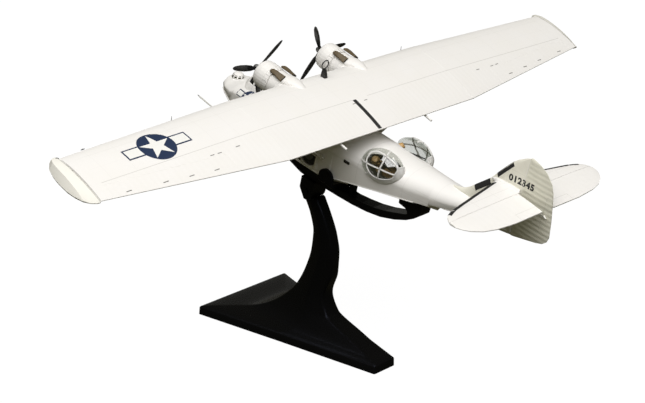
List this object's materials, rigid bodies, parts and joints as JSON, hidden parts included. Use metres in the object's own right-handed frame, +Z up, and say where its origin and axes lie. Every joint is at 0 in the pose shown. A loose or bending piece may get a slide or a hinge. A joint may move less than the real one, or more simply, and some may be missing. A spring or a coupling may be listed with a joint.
{
  "type": "flying boat display model on stand",
  "caption": "Display model of a twin-engined parasol-wing flying boat with tip floats, waist blisters and turning propellers, held nose-up on a curved black stand.",
  "frame": {"origin": "on the stand's underside at shelf height, on the centre line, below the wing's leading edge", "axes": "+X to the aircraft's port side, -Y towards its nose, +Z up from the shelf"},
  "size_m": [0.4452, 0.2787, 0.2094],
  "materials": {
    "white_paint": "satin off-white paint over die-cast metal",
    "stand_plastic": "satin black moulded plastic",
    "propeller_black": "matt black moulded plastic",
    "aerial_black": "matt black moulded plastic",
    "exhaust_brown": "dark brown paint, matt",
    "engine_grey": "dark grey moulded plastic",
    "tyre_black": "matt black moulded tyre",
    "interior_tan": "tan paint, matt",
    "clear_plastic": "clear moulded plastic, glossy"
  },
  "bodies": {
    "model": {"aileron_port": "white_paint", "aileron_starboard": "white_paint", "blister_frame_port": "white_paint", "blister_frame_starboard": "white_paint", "blister_glass_port": "clear_plastic", "blister_glass_starboard": "clear_plastic", "bow_turret": "white_paint", "cockpit_glass": "clear_plastic", "cockpit_roof": "white_paint", "cowl_port": "white_paint", "cowl_starboard": "white_paint", "cradle_bow": "stand_plastic", "cradle_claw": "stand_plastic", "cradle_pad_mid": "stand_plastic", "dump_pipe_port": "white_paint", "dump_pipe_starboard": "white_paint", "elevator_port": "white_paint", "elevator_starboard": "white_paint", "engine_port": "engine_grey", "engine_starboard": "engine_grey", "exhaust_port_pipe_port": "exhaust_brown", "exhaust_port_pipe_starboard": "exhaust_brown", "exhaust_starboard_pipe_port": "exhaust_brown", "exhaust_starboard_pipe_starboard": "exhaust_brown", "fin": "white_paint", "hull": "white_paint", "loop_aerial": "aerial_black", "loop_aerial_foot": "aerial_black", "nacelle_port": "white_paint", "nacelle_starboard": "white_paint", "pitot_boom": "white_paint", "rudder": "white_paint", "stand_knuckle": "stand_plastic", "stand_pedestal": "stand_plastic", "stand_pin": "stand_plastic", "tailplane_port": "white_paint", "tailplane_starboard": "white_paint", "tip_float_port": "white_paint", "tip_float_starboard": "white_paint", "waist_bench": "interior_tan", "wheel_port": "tyre_black", "wheel_starboard": "tyre_black", "wing_centre": "white_paint", "wing_panel_port": "white_paint", "wing_panel_starboard": "white_paint", "wing_pylon": "white_paint", "wing_strut_front_port": "white_paint", "wing_strut_front_starboard": "white_paint", "wing_strut_rear_port": "white_paint", "wing_strut_rear_starboard": "white_paint"},
    "propeller_port": {"propeller_port": "propeller_black"},
    "propeller_starboard": {"propeller_starboard": "propeller_black"}
  },
  "joints": [
    {"name": "propeller_port_spin", "type": "hinge", "parent": "model", "child": "propeller_port", "pos_m": [0.0284, -0.02777, 0.18881], "axis": [0, -0.9681, 0.2504], "continuous": true},
    {"name": "propeller_starboard_spin", "type": "hinge", "parent": "model", "child": "propeller_starboard", "pos_m": [-0.0284, -0.02777, 0.18881], "axis": [0, -0.9681, 0.2504], "continuous": true}
  ]
}
